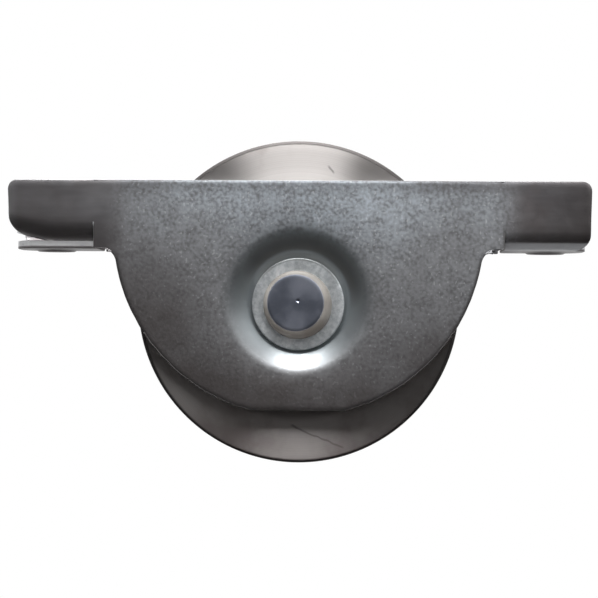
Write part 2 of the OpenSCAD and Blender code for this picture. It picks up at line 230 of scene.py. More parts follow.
# Cheek and dimple: circles round the axle up to the dimple's rim, then straight lines out to the outline
def cheekPatch():
    s = shell
    right, rightAngle, rightFree = sideOutline(0.0)
    left, leftAngle, leftFree = sideOutline(s["thick"])
    topMiddle = np.array([[0.0, s["top"]]])
    outline = np.concatenate([right, topMiddle, (left * [-1, 1])[:0:-1]])
    angle = np.radians(np.concatenate([rightAngle, [90.0], (180 - leftAngle)[:0:-1]]))
    free = np.concatenate([rightFree, [0.0], leftFree[:0:-1]])
    # the sheared edge of the cheek wanders a little
    low = np.clip((s["waveTop"] - outline[:, 1]) / s["waveFade"], 0, 1)
    wave = sum(share * np.sin(outline[:, axis] * pace + start) for axis, pace, start, share in s["waves"])
    outline[:, 1] += s["edgeWave"] * wave * low
    profile = dimpleProfile()
    ring = profile[:, 0][:, None]
    bowl = np.stack([ring * np.cos(angle), -profile[:, 1][:, None] + 0 * angle,
                     s["axle"] + ring * np.sin(angle)], -1)
    rim = np.stack([profile[-1, 0] * np.cos(angle), s["axle"] + profile[-1, 0] * np.sin(angle)], 1)
    # rows of the sheet, closer together near its edge
    share = np.concatenate([np.linspace(0, 0.9, 15)[1:], [0.93, 0.955, 0.975, 0.99, 1.0]])[:, None, None]
    flat = (1 - share) * rim + share * outline
    toEdge = (1 - share[..., 0]) * np.linalg.norm(outline - rim, axis=1)
    dish = dishAt(flat[..., 0], flat[..., 1])
    # the top edge's roll is shorter between the wings
    nearWing = np.clip((np.abs(flat[..., 0]) - s["rollFrom"]) / s["rollFade"], 0, 1)
    toTop = (s["top"] - flat[..., 1]) / (nearWing + (1 - nearWing) * s["rollShort"])
    depth = s["wall"] - dish - rolled(toTop) - free * rolled(toEdge)
    sheet = np.stack([flat[..., 0], -depth, flat[..., 1]], -1)
    return np.concatenate([bowl, sheet]), False, True


# Rise of the upper flange towards the end of its wing, a circle's arc taken as its parabola
def liftAt(x, lifted):
    run = np.clip(x - (shell["wingEnd"] - shell["liftLen"]), 0, None)
    return lifted * run ** 2 / (2 * shell["liftR"])


# Flat of a wing between its four edges, with half of the top corner on the top edge and half on the end,
# then the bend as a quarter turn whose end draws in along the lower corner
def wingPatch(level, lifted):
    s = shell
    bendZ, foldY = level + s["bend"], s["bend"] - s["wall"]
    rows = wingRows(level)[::-1]
    columns = 21
    cornerX, cornerZ = s["wingEnd"] - s["topCorner"], s["top"] - s["topCorner"]
    top = np.concatenate([linePoints((s["foldStart"], s["top"]), (cornerX, s["top"]), columns - 4),
                          arcPoints(cornerX, cornerZ, s["topCorner"], 90, 45, 3)[1:]])
    endArc = arcPoints(cornerX, cornerZ, s["topCorner"], 45, 0, 3)
    end = np.concatenate([endArc, linePoints(endArc[-1], (s["wingEnd"], bendZ), len(rows) - 4)[1:]])
    across = 1 - (1 - np.linspace(0, 1, columns)) ** s["crowding"]  # columns stand closer near the end
    bottom = np.stack([s["foldStart"] + across * (s["wingEnd"] - s["foldStart"]), np.full(columns, bendZ)], 1)
    root = np.stack([np.full(len(rows), s["foldStart"]), rows], 1)
    flat = coonsPatch(top, bottom, root, end)
    turn = np.radians(np.linspace(0, 90, 11))[1:, None]
    bendRowZ = bendZ - s["bend"] * np.sin(turn)
    drawn = np.clip(level + s["foldCorner"] - bendRowZ, 0, s["foldCorner"])
    bendEnd = s["wingEnd"] - s["foldCorner"] + np.sqrt(s["foldCorner"] ** 2 - drawn ** 2)
    u = across[None]
    bendX = s["foldStart"] + u * (bendEnd - s["foldStart"])
    x = np.concatenate([flat[..., 0], bendX])
    z = np.concatenate([flat[..., 1], bendRowZ + 0 * u])
    y = np.concatenate([0 * flat[..., 0] - s["wall"], foldY - s["bend"] * np.cos(turn) + 0 * u])
    lean = s["endLean"] * np.clip((s["top"] - z) / (s["top"] - level), 0, 1)
    x = x - lean * ((x - s["foldStart"]) / (s["wingEnd"] - s["foldStart"])) ** 2
    share = np.clip((cornerZ - z) / (cornerZ - bendZ), 0, 1)
    z = z + liftAt(x, lifted) * share
    y = np.where(y < 0.5 - s["wall"], y + dishAt(x, z), y)  # the flat and the start of the bend
    overX, overZ = flat[..., 0] - cornerX, flat[..., 1] - cornerZ
    gap = (s["topCorner"] - np.hypot(np.maximum(overX, 0), np.maximum(overZ, 0))
           - np.minimum(np.maximum(overX, overZ), 0))
    y[:len(rows)] += rolled(gap) * np.clip((flat[..., 1] - bendZ) / s["rollFoot"], 0, 1)
    return np.stack([x, y, z], -1), False, False


# Flange seen from below: straight lines from the fixing hole out to the flange's own outline
def flangePatch(level, lifted):
    s = shell
    foldY = s["bend"] - s["wall"]
    bendX = wingPatch(level, lifted)[0][-1, :, 0]
    fold = np.stack([bendX, np.full(len(bendX), foldY)], 1)
    start, endX, r, heel = s["foldStart"], s["flangeEnd"], s["tipCorner"], s["heelCorner"]
    t = np.linspace(0, 1, 7)
    flareX = bendX[-1] + (endX - bendX[-1]) * np.sin(t * math.pi / 2)
    flare = np.stack([flareX, foldY + s["flareLen"] * t], 1)
    outline = np.concatenate([
        fold[:-1], flare[:-1], linePoints(flare[-1], (endX, s["tip"] - r), 5)[:-1],
        arcPoints(endX - r, s["tip"] - r, r, 0, 90, 12)[:-1],
        linePoints((endX - r, s["tip"]), (start + heel, s["tip"]), 11)[:-1],
        arcPoints(start + heel, s["tip"] - heel, heel, 90, 180, 5)[:-1],
        linePoints((start, s["tip"] - heel), (start, foldY), 12)[:-1]])
    away = np.arctan2(outline[:, 1], outline[:, 0] - s["holeX"])
    hole = np.stack([s["holeX"] + s["holeR"] * np.cos(away), s["holeR"] * np.sin(away)], 1)
    # rings round the hole, closer together near it
    share = np.array([0, 0.05, 0.12, 0.22, 0.36, 0.52, 0.7, 0.87, 1])[:, None, None]
    flat = (1 - share) * hole + share * outline
    beside = np.hypot(flat[..., 0] - s["holeX"], flat[..., 1]) - s["holeR"]
    drop = s["burr"] * np.exp(-beside / s["burrLen"]) * (level == 0)  # burr round the lower hole
    z = level + liftAt(flat[..., 0], lifted) - drop
    return np.stack([flat[..., 0], flat[..., 1], z], -1), False, True


# One half shell: cheek, two wings with their flanges; the left wing is the upper one and lifts at its end
def halfShell(name, turned):
    patches = [cheekPatch()]
    for level, lifted, side in ((0.0, 0, 1), (shell["thick"], 1, -1)):
        for grid, closeRows, closeCols in (wingPatch(level, lifted), flangePatch(level, lifted)):
            patches.append((grid * [side, 1, 1], closeRows, closeCols))
    if turned:
        patches = [(grid * [-1, -1, 1], a, b) for grid, a, b in patches]
    face = 1 if turned else -1
    piece = pieceFromPatches(name, patches, ((0, face * shell["wall"], -37), (0, face, 0)))
    thick = piece.modifiers.new("sheet", "SOLIDIFY")
    thick.thickness, thick.offset, thick.use_even_offset = shell["thick"] * mm, -1, True
    thick.material_offset_rim = 1
    edge = piece.modifiers.new("edges", "BEVEL")
    edge.width, edge.segments, edge.limit_method = shell["edgeRound"] * mm, 3, "ANGLE"
    edge.angle_limit = math.radians(shell["edgeAngle"])
    edge.use_clamp_overlap, edge.harden_normals = False, True
    return piece


frontShell = halfShell("frontShell", False)
rearShell = halfShell("rearShell", True)
print("half shells:", len(frontShell.data.polygons), "faces each before thickness")

# Sizes of the wheel in millimetres and degrees
wheelSizes = dict(rim=40.0, half=10.0, chamfer=0.6, grooveR=8.5, grooveDeep=8.0, grooveAngle=86.6, bore=23.5,
                  lip=20.73, bearingHalf=7.0, snapGroove=24.75, snapEdge=-8.85, edge=0.15, lipEdge=0.2,
                  boreEdge=0.1, longest=1.6, steps=288)


# Section of the wheel: faces, rims, round rail groove, bore with the lip and the ring's groove
def wheelPiece():
    w = wheelSizes
    c, half, rim, edge, angle = w["chamfer"], w["half"], w["rim"], w["edge"], w["grooveAngle"]
    groove = arcPoints(rim - w["grooveDeep"] + w["grooveR"], 0, w["grooveR"], 180 + angle, 180 - angle, 34)
    corners = [(rim - c, -half), (rim, c - half)]
    radii = [edge, edge]
    corners += [tuple(p) for p in groove]
    radii += [edge] + [0] * (len(groove) - 2) + [edge]
    corners += [(rim, half - c), (rim - c, half), (w["lip"] + c, half), (w["lip"], half - c),
                (w["lip"], w["bearingHalf"]), (w["bore"], w["bearingHalf"]), (w["bore"], -w["bearingHalf"]),
                (w["snapGroove"], -w["bearingHalf"]), (w["snapGroove"], w["snapEdge"]),
                (w["bore"], w["snapEdge"]), (w["bore"], -half + c / 2), (w["bore"] + c / 2, -half)]
    radii += [edge] * 2 + [w["lipEdge"]] * 2 + [w["boreEdge"]] + [0] * 4 + [w["boreEdge"]] * 3
    section = denser(roundSection(corners, radii, 3), w["longest"])
    return pieceFromPatches("rollerWheel", [turnedPatch(section, w["steps"], shell["axle"], True)],
                            ((0, -half, shell["axle"] + 35), (0, -1, 0)))


rollerWheel = wheelPiece()
print("wheel:", len(rollerWheel.data.polygons), "faces")

# Sizes of the axle and of the washers in millimetres
axleSizes = dict(end=12.4, pip=0.5, pipDeep=0.21, pipEdge=0.12, pipBlunt=1.3, endR=6.35, endEdge=0.3,
                 headR=8.4, headH=2.2, headFull=0.25, headEdge=0.15, tenon=6.25, body=9.97, bodyEdge=0.3,
                 shoulder=7.0, seam=0.01, endOff=(-0.6, -0.35), baseOff=(0.0, -0.9),
                 pipOff=(0.0, 0.2), steps=160)
washerSizes = dict(bore=6.88, out=11.5, low=9.0, high=10.2, edge=0.35, drop=0.6, longest=0.8, steps=160)


# Axle section from pole to pole: turning mark, flat end, crowned flank of the head, tenon, shoulder, body.
# The heads were formed off centre: their base sits low and their end to the side, blended by height.
def axlePiece():
    a = axleSizes
    seat, flatR, seam = a["end"] - a["headH"], a["endR"] - a["endEdge"], a["seam"]
    flank = np.radians(np.linspace(90, 0, 14))
    crownR = a["endR"] + (a["headR"] - a["endR"]) * np.cos(flank)
    crownR += a["headFull"] * np.sin(2 * flank)  # the flank is fuller than an ellipse
    crown = np.stack([crownR, seat + a["headH"] * np.sin(flank)], 1)
    t = np.linspace(0, 1, 6)
    pip = np.stack([a["pip"] * t, a["end"] - a["pipDeep"] * (1 - t ** a["pipBlunt"])], 1)  # a blunt cone
    flat = linePoints((a["pip"] + a["pipEdge"], a["end"]), (flatR, a["end"]), 6)
    half = np.concatenate([pip, flat, crown,
                           [(a["headR"] - a["headEdge"], seat - seam), (a["tenon"], seat - 2 * seam),
                            (a["tenon"], a["shoulder"] + seam), (a["body"] - a["bodyEdge"], a["shoulder"]),
                            (a["body"], a["shoulder"] - a["bodyEdge"])]])
    section = np.concatenate([half * [1, -1], half[::-1]])
    grid, closeRows, closeCols = turnedPatch(section, a["steps"], shell["axle"], False)
    high = np.clip((np.abs(section[:, 1]) - seat) / a["headH"], 0, 1)[:, None]
    onHead = (np.abs(section[:, 1]) > seat - 1.5 * seam)[:, None]
    onEnd = np.clip((section[:, 0] - a["pip"]) / (flatR - a["pip"]), 0, 1)[:, None]
    for axis, base, end, mark in zip((0, 2), a["baseOff"], a["endOff"], a["pipOff"]):
        grid[..., axis] += onHead * ((1 - high) * base + high * (onEnd * end + (1 - onEnd) * mark))
    return pieceFromPatches("rivetedAxle", [(grid, closeRows, closeCols)],
                            ((0, -a["end"], shell["axle"] + 4), (0, -1, 0)))


# Washer: a flat ring with rounded outer edges, hanging low on the axle by its play
def washerPiece(name, side):
    w = washerSizes
    corners = [(w["bore"], w["low"]), (w["out"], w["low"]), (w["out"], w["high"]), (w["bore"], w["high"])]
    section = denser(roundSection(corners, [0, w["edge"], w["edge"], 0], 5), w["longest"])
    grid, closeRows, closeCols = turnedPatch(section * [1, side], w["steps"], shell["axle"] - w["drop"], True)
    return pieceFromPatches(name, [(grid, closeRows, closeCols)],
                            ((10, side * w["high"], shell["axle"] - w["drop"]), (0, side, 0)))


rivetedAxle = axlePiece()
frontWasher = washerPiece("frontWasher", -1)
rearWasher = washerPiece("rearWasher", 1)
print("axle and washers:", len(rivetedAxle.data.polygons) + 2 * len(frontWasher.data.polygons), "faces")


# A material whose nodes are added one by one; each call gives back the socket with its result
class Finish:
    def __init__(self, name):
        self.material = bpy.data.materials.new(name)
        self.material.use_nodes = True
        self.tree = self.material.node_tree
        self.shader = self.tree.nodes["Principled BSDF"]
        self.place = self.add("ShaderNodeTexCoord").outputs["Object"]

    def add(self, kind, **settings):
        node = self.tree.nodes.new(kind)
        for key, value in settings.items():
            setattr(node, key, value)
        return node

    def put(self, socket, value):
        if isinstance(value, bpy.types.NodeSocket):
            self.tree.links.new(value, socket)
        else:
            socket.default_value = value

    def noise(self, scale, detail=3.0, rough=0.5, stretch=None, source=None):
        node = self.add("ShaderNodeTexNoise")
        for key, value in (("Scale", scale), ("Detail", detail), ("Roughness", rough)):
            node.inputs[key].default_value = value
        source = source or self.place
        if stretch:
            turn = self.add("ShaderNodeMapping")
            turn.inputs["Scale"].default_value = stretch
            self.put(turn.inputs["Vector"], source)
            source = turn.outputs["Vector"]
        self.put(node.inputs["Vector"], source)
        return node.outputs["Fac"]

    # Eases from one share to another while the value crosses from low to high
    def between(self, value, low, high, outLow=0.0, outHigh=1.0, straight=False):
        node = self.add("ShaderNodeMapRange", interpolation_type="LINEAR" if straight else "SMOOTHSTEP")
        for key, number in (("From Min", low), ("From Max", high), ("To Min", outLow), ("To Max", outHigh)):
            self.put(node.inputs[key], number)
        self.put(node.inputs["Value"], value)
        return node.outputs["Result"]

    # The same for a mark: from and to in millimetres, its share at either, and whether it is straight
    def mark(self, length, spec):
        start, end, *shares = spec
        return self.between(length, start * mm, end * mm, *shares)

    # Numbers or sockets joined by one operation, from left to right
    def calc(self, operation, first, *others):
        for other in others or (0.0,):
            node = self.add("ShaderNodeMath", operation=operation)
            self.put(node.inputs[0], first)
            self.put(node.inputs[1], other)
            first = node.outputs[0]
        return first

    def times(self, *values):
        return self.calc("MULTIPLY", *values)

    def plus(self, *values):
        return self.calc("ADD", *values)

    def minus(self, *values):
        return self.calc("SUBTRACT", *values)

    def most(self, *values):
        return self.calc("MAXIMUM", *values)

    def size(self, value):
        return self.calc("ABSOLUTE", value)

    # Distance from a line on which both values are nought
    def apart(self, a, b):
        return self.calc("SQRT", self.plus(self.times(a, a), self.times(b, b)))

    def mix(self, share, a, b):
        node = self.add("ShaderNodeMix", data_type="RGBA")
        self.put(node.inputs["Factor"], share)
        for socket, value in ((node.inputs[6], a), (node.inputs[7], b)):
            self.put(socket, value if isinstance(value, bpy.types.NodeSocket) else (*value, 1.0))
        return node.outputs[2]

    def axes(self):
        node = self.add("ShaderNodeSeparateXYZ")
        self.put(node.inputs[0], self.place)
        return node.outputs

    def bump(self, height, strength, distance):
        node = self.add("ShaderNodeBump")
        node.inputs["Strength"].default_value = strength
        node.inputs["Distance"].default_value = distance * mm
        self.put(node.inputs["Height"], height)
        return node.outputs["Normal"]

    def finish(self, colour, roughness, normal=None, metallic=1.0):
        self.put(self.shader.inputs["Base Color"], colour)
        self.put(self.shader.inputs["Roughness"], roughness)
        self.put(self.shader.inputs["Metallic"], metallic)
        if normal:
            self.put(self.shader.inputs["Normal"], normal)
        return self.material


# Colours, noises (cells per metre, detail, roughness), ranges of noise and what they turn into
sheetLook = dict(
    # blue is paler than pale: a bluish tint with painted light for the cheek's upper middle
    grey=(0.28, 0.29, 0.305), pale=(0.505, 0.525, 0.55), blue=(0.565, 0.617, 0.67), dot=(0.85, 0.87, 0.89),
    # film is a brown film tone that also paints shade on the cheek, the wings and the foot of the edges
    film=(0.10, 0.088, 0.086), creviceShade=(0.09, 0.085, 0.085), bowl=(0.365, 0.405, 0.425),
    # floor is the tone of the dimple's floor, which paints light there together with its lower metallic
    floor=(0.21, 0.225, 0.227), wing=(0.174, 0.167, 0.175), wingPale=(0.325, 0.319, 0.33),
    # the pale tone for the left wing's end paints a highlight there
    wingBrown=(0.20, 0.172, 0.168), wingEndLit=(0.40, 0.40, 0.405), bendPale=(0.27, 0.275, 0.285),
    grain=(1150.0, 1.6, 0.4), mottle=(420.0, 3.0, 0.6), cloud=(55.0, 3.0, 0.55), dots=(1500.0, 0.0, 0.5),
    streak=(60.0, 3.0, 0.5, (0.5, 1.0, 4.0)),
    speckled=(0.24, 0.76), mottled=(0.40, 0.66, 0.0, 0.55), dotted=(0.70, 0.80, 0.0, 0.4),
    streaked=(0.3, 0.75), clouded=(0.45, 0.65, 0.0, 0.6), glossy=(0.3, 0.7, 0.36, 0.43),
    blueMid=3.0, blueLean=0.35, blueDrift=0.02, filmLean=0.09, filmDrift=0.03, filmMost=0.95, bowlShadeLean=0.25,
    wingMid=3.5, leftPatch=(-38.0, -13.0), cheekMatt=0.19, wingGloss=0.18,
    wingRelief=(0.0, 1.0, 1.0, 0.15), bowlRelief=(0.0, 1.0, 0.1, 1.0), relief=(0.35, 0.1),
    metallic=(0.0, 1.0, 0.85, 0.25))

# Marks on the sheet: from and to in millimetres, the mark's share at either, True where it runs straight
sheetMarks = dict(
    wing=(44.5, 53.5, 0.0, 1.0), cheek=(15.0, 20.5, 0.0, 1.0), blue=(-6.0, 22.0, 0.0, 1.0),
    film=(-24.0, 34.0, 0.94, 0.0, True), filmOut=(10.0, 21.0, 0.15, 1.0), leftPatch=(4.0, 20.0, 0.22, 0.0),
    sides=(18.0, 48.0, 0.0, 0.11), upperLeft=(-48.0, -24.0, 0.19, 0.0), upperRight=(16.0, 40.0, 0.0, 0.14),
    upper=(-6.0, 5.0, 0.0, 1.0), topBand=(12.2, 16.0, 0.0, 1.0), topRight=(18.0, 34.0, 0.26, 0.42),
    bowlShadeIn=(12.2, 13.4, 0.0, 1.0), bowlShadeOut=(14.0, 19.0, 0.64, 0.0), bowlShadeUp=(-3.0, 9.0, 0.0, 1.0),
    wingRoot=(52.0, 62.0, 0.35, 0.0), wingLeft=(-62.0, -50.0, 0.3, 0.0), wingLow=(1.5, 12.5, 0.6, 0.0),
    wingRight=(57.0, 72.0, 0.0, 0.7, True), wingEndLit=(-72.4, -69.5, 0.55, 0.0),
    slit=(0.3, 0.6, 0.3, 0.0), slitUp=(5.0, 6.6, 1.0, 0.0), rim=(44.9, 45.7, 0.0, 0.85),
    rimUp=(-4.0, -1.0, 1.0, 0.0), flange=(50.5, 51.5, 0.0, 1.0), under=(0.2, 0.8, 1.0, 0.0),
    underDeep=(8.0, 9.0, 0.8, 0.0), low=(1.4, 2.2, 1.0, 0.0), lowDeep=(8.0, 9.0, 0.0, 1.0),
    floor=(11.6, 13.6, 1.0, 0.0), floorUp=(2.0, 8.0, 0.0, 1.0))


# Painted shade in the relief slits beside the folds
def slitShade(f, x, z):
    middle = (shell["foldStart"] - shell["slit"] / 2) * mm
    beside = f.size(f.minus(f.size(x), middle))
    return f.times(f.mark(beside, sheetMarks["slit"]), f.mark(z, sheetMarks["slitUp"]))


# Zinc plated sheet: speckled cheek under a brown film with painted shade, smooth dimple with painted shade on
# its upper wall and a floor painted lighter, and darker smooth wings with streaks along them
def zincSheet():
    k, m = sheetLook, sheetMarks
    f = Finish("zincSheet")
    x, y, z = f.axes()
    wide, deep = f.size(x), f.size(y)
    up = f.minus(z, shell["axle"] * mm)
    away = f.apart(x, up)
    grain, mottle, cloud = (f.noise(*k[name]) for name in ("grain", "mottle", "cloud"))
    wing = f.mark(f.size(f.minus(x, k["wingMid"] * mm)), m["wing"])
    cheek = f.mark(away, m["cheek"])
    # speckle, paler and bluer in the upper middle: a bluish tint with painted light
    aside = f.times(f.size(f.minus(x, k["blueMid"] * mm)), k["blueLean"])
    bluer = f.mark(f.plus(f.minus(z, aside), f.times(cloud, k["blueDrift"])), m["blue"])
    pale = f.mix(bluer, k["pale"], k["blue"])
    colour = f.mix(f.between(grain, *k["speckled"]), k["grey"], pale)
    colour = f.mix(f.between(mottle, *k["mottled"]), colour, pale)
    colour = f.mix(f.minus(1.0, cheek), colour, k["bowl"])
    # brown film with painted shade: thicker below, at the sides, round a patch on the left and along the top
    # edge
    film = f.mark(f.plus(z, f.times(x, k["filmLean"]), f.times(cloud, k["filmDrift"])), m["film"])
    upperSides = f.plus(f.mark(x, m["upperLeft"]), f.mark(x, m["upperRight"]))
    sides = f.plus(f.mark(wide, m["sides"]), f.times(upperSides, f.mark(z, m["upper"])))
    leftPatchX, leftPatchZ = (f.minus(axis, place * mm) for axis, place in zip((x, z), k["leftPatch"]))
    leftPatch = f.mark(f.apart(leftPatchX, leftPatchZ), m["leftPatch"])
    topBand = f.times(f.mark(z, m["topBand"]), f.mark(x, m["topRight"]))
    film = f.calc("MINIMUM", f.plus(film, sides, leftPatch, topBand), k["filmMost"])
    film = f.times(film, f.mark(away, m["filmOut"]))
    # painted shade on the dimple's upper wall
    bowlShade = f.times(f.mark(away, m["bowlShadeIn"]), f.mark(away, m["bowlShadeOut"]),
                    f.mark(f.plus(up, f.times(x, k["bowlShadeLean"])), m["bowlShadeUp"]))
    colour = f.mix(f.most(film, bowlShade), colour, k["film"])
    dots = f.times(f.between(f.noise(*k["dots"]), *k["dotted"]), cheek, f.minus(1.0, film))
    colour = f.mix(dots, colour, k["dot"])
    # wings: streaks and brown clouds; painted shade below and at the right end, darker towards the left end,
    # painted highlights by the right root and at the left end
    wingColour = f.mix(f.between(f.noise(*k["streak"]), *k["streaked"]), k["wing"], k["wingPale"])
    wingColour = f.mix(f.between(cloud, *k["clouded"]), wingColour, k["wingBrown"])
    for axis, name, tone in ((x, "wingRoot", "wingPale"), (x, "wingLeft", "film"), (z, "wingLow", "film"),
                             (x, "wingRight", "film"), (x, "wingEndLit", "wingEndLit")):
        wingColour = f.mix(f.mark(axis, m[name]), wingColour, k[tone])
    colour = f.mix(wing, colour, wingColour)
    # painted shade in the slits, along the cheek's lower edge and under the flanges; the foot of the bend
    # paler as a painted reflection of the floor, and the dimple floor painted lighter
    edge = f.apart(x, f.minus(z, shell["cheekMid"] * mm))
    rim = f.times(f.mark(edge, m["rim"]), f.mark(z, m["rimUp"]))
    onFlange = f.mark(wide, m["flange"])
    under = f.times(f.mark(z, m["under"]), onFlange, f.mark(deep, m["underDeep"]))
    # painted reflection of the floor: the foot of the bend paler and less metallic
    low = f.times(f.mark(z, m["low"]), onFlange, f.mark(deep, m["lowDeep"]))
    # painted light: the dimple's floor above the washer made paler and less metallic
    floor = f.times(f.mark(away, m["floor"]), f.mark(up, m["floorUp"]))
    for share, tone in ((slitShade(f, x, z), "creviceShade"), (rim, "creviceShade"), (under, "creviceShade"), (low, "bendPale"),
                        (floor, "floor")):
        colour = f.mix(share, colour, k[tone])
    gloss = f.plus(f.between(mottle, *k["glossy"]), f.times(cheek, k["cheekMatt"]))
    gloss = f.minus(gloss, f.times(wing, k["wingGloss"]))
    height = f.times(grain, f.between(wing, *k["wingRelief"]), f.between(cheek, *k["bowlRelief"]))
    # less metallic where the bend's foot and the dimple's floor carry painted light
    metallic = f.between(f.most(low, floor), *k["metallic"])
    return f.finish(colour, gloss, f.bump(height, *k["relief"]), metallic)


edgeLook = dict(
    dull=(0.78, 0.80, 0.82), bright=(0.95, 0.96, 0.97), patch=(0.55, 0.55, 0.56), flange=(0.97, 0.975, 0.98),
    inside=(0.30, 0.305, 0.31), lines=(700.0, 3.0, 0.6, (1.0, 1.0, 0.25)), mottle=(240.0, 3.0, 0.5),
    lined=(0.3, 0.7), mottled=(0.60, 0.80, 0.0, 0.4), slit=(0.0, 0.3, 0.0, 0.85),
    glossy=(0.3, 0.7, 0.38, 0.55), onFlange=(3.0, 4.0, 0.8, 0.0), onInside=(12.8, 13.1, 0.85, 0.0),
    onTop=(15.0, 16.4, 0.0, 1.0), onFoot=(0.4, 0.8, 0.88, 0.0), specular=0.15,
    metallic=0.1, relief=(0.3, 0.1))


# Sheared edge of the sheet: bright and half matt, with lines across the thickness; paler on the lower flanges
# as a burnish with painted light, darker at their foot as a fracture band with painted shade, painted shade
# in the slits, dark on the inner side of the top edge
def shearedEdge():
    k = edgeLook
    f = Finish("shearedEdge")
    x, y, z = f.axes()
    lines = f.noise(*k["lines"])
    inside = f.times(f.mark(f.size(y), k["onInside"]), f.mark(z, k["onTop"]))
    colour = f.mix(f.between(lines, *k["lined"]), k["dull"], k["bright"])
    colour = f.mix(f.between(f.noise(*k["mottle"]), *k["mottled"]), colour, k["patch"])
    # paler lower flanges: burnish with painted light; slits: painted shade; the foot: a fracture band with
    # painted shade
    colour = f.mix(f.mark(z, k["onFlange"]), colour, k["flange"])
    colour = f.mix(f.between(slitShade(f, x, z), *k["slit"]), colour, sheetLook["creviceShade"])
    colour = f.mix(inside, colour, k["inside"])
    colour = f.mix(f.mark(z, k["onFoot"]), colour, sheetLook["film"])
    f.shader.inputs["Specular IOR Level"].default_value = k["specular"]
    return f.finish(colour, f.between(lines, *k["glossy"]), f.bump(lines, *k["relief"]), k["metallic"])


wheelLook = dict(
    dark=(0.495, 0.468, 0.455), middle=(0.58, 0.552, 0.535), pale=(0.645, 0.617, 0.605),
    brown=(0.33, 0.285, 0.275), scratch=(0.13, 0.12, 0.115), rim=(0.14, 0.13, 0.128),
    inner=(0.14, 0.12, 0.115), lowShade=(0.24, 0.20, 0.195), ringFine=(5200.0, 2.0, 0.6),
    ringWide=(420.0, 3.0, 0.6), cloud=(70.0, 4.0, 0.6), wobble=(260.0, 2.0, 0.5),
    turned=(0.3, 0.7), banded=(0.35, 0.7, 0.0, 0.4), clouded=(0.48, 0.7, 0.0, 0.55),
    lowShadeCloud=(0.30, 0.65, 0.45, 1.0), glossy=(0.3, 0.7, 0.385, 0.455), onRim=(38.9, 39.4, 0.0, 0.8),
    rimMatt=(38.8, 39.3, 0.0, 0.85), onInner=(28.2, 30.2, 0.5, 0.0), low=(-40.0, -22.0, 0.72, 0.0),
    relief=(0.06, 0.05), anisotropy=0.95, turn=0.25, wobbleLen=1.2, scratchFade=1.0, scratchShare=0.6,
    scratchCore=0.3,
    scratches=((-2.0, -43.6, 5.0, -46.6, 0.35), (4.0, -46.0, 11.8, -49.4, 0.3),
               (7.1, 21.2, 8.7, 18.5, 0.4)))  # x and z of the start and of the end, width


# Turned steel: rings round the axle, long gloss across them, brown film in clouds, painted shade that
# thickens downwards, a dark rim line and a dark inner part as painted shade, a few wavering scratches
def turnedSteel():
    k = wheelLook
    f = Finish("turnedSteel")
    x, _, z = f.axes()
    up = f.minus(z, shell["axle"] * mm)
    away = f.apart(x, up)
    rings = f.add("ShaderNodeCombineXYZ")
    f.put(rings.inputs[0], away)
    ringFine, ringWide = (f.noise(*k[name], source=rings.outputs[0]) for name in ("ringFine", "ringWide"))
    cloud = f.noise(*k["cloud"])
    wobble = f.minus(f.times(f.noise(*k["wobble"]), k["wobbleLen"] * mm), k["wobbleLen"] / 2 * mm)
    colour = f.mix(f.between(ringFine, *k["turned"]), k["dark"], k["middle"])
    colour = f.mix(f.between(ringWide, *k["banded"]), colour, k["pale"])
    colour = f.mix(f.between(cloud, *k["clouded"]), colour, k["brown"])
    fade, core = k["scratchFade"], k["scratchCore"]
    for startX, startZ, endX, endZ, wide in k["scratches"]:
        length = math.hypot(endX - startX, endZ - startZ)
        wayX, wayZ = (endX - startX) / length, (endZ - startZ) / length
        fromX, fromZ = f.minus(x, startX * mm), f.minus(z, startZ * mm)
        along = f.plus(f.times(fromX, wayX), f.times(fromZ, wayZ))
        aside = f.size(f.plus(f.minus(f.times(fromX, wayZ), f.times(fromZ, wayX)), wobble))
        onLine = f.times(f.mark(along, (0.0, fade, 0.0, 1.0)),
                         f.mark(along, (length - fade, length, 1.0, 0.0)),
                         f.mark(aside, (wide * core, wide, k["scratchShare"], 0.0)))
        colour = f.mix(onLine, colour, k["scratch"])
    # painted shade: a dark line at the rim and a darker inner ring
    colour = f.mix(f.mark(away, k["onRim"]), colour, k["rim"])
    colour = f.mix(f.mark(away, k["onInner"]), colour, k["inner"])
    # painted shade thickening towards the bottom, broken up by clouds
    colour = f.mix(f.times(f.mark(up, k["low"]), f.between(cloud, *k["lowShadeCloud"])), colour, k["lowShade"])
    gloss = f.most(f.between(ringWide, *k["glossy"]), f.mark(away, k["rimMatt"]))
    tangent = f.add("ShaderNodeTangent", direction_type="UV_MAP", uv_map="surface")
    f.put(f.shader.inputs["Tangent"], tangent.outputs[0])
    f.shader.inputs["Anisotropic"].default_value = k["anisotropy"]
    f.shader.inputs["Anisotropic Rotation"].default_value = k["turn"]
    return f.finish(colour, gloss, f.bump(ringFine, *k["relief"]))


washerLook = dict(
    dark=(0.60, 0.64, 0.66), pale=(0.88, 0.91, 0.93), scuffPale=(0.93, 0.94, 0.95), dull=(0.20, 0.21, 0.21),
    grain=(900.0, 4.0, 0.65), scuff=(300.0, 3.0, 0.6, (1.0, 1.0, 0.4)), grained=(0.3, 0.72),
    scuffed=(0.56, 0.72, 0.0, 0.8), glossy=(0.3, 0.7, 0.36, 0.52), rim=(10.6, 11.3, 0.0, 0.8),
    upper=(4.0, 9.0, 0.0, 1.0), relief=(0.35, 0.1), metallic=0.8)


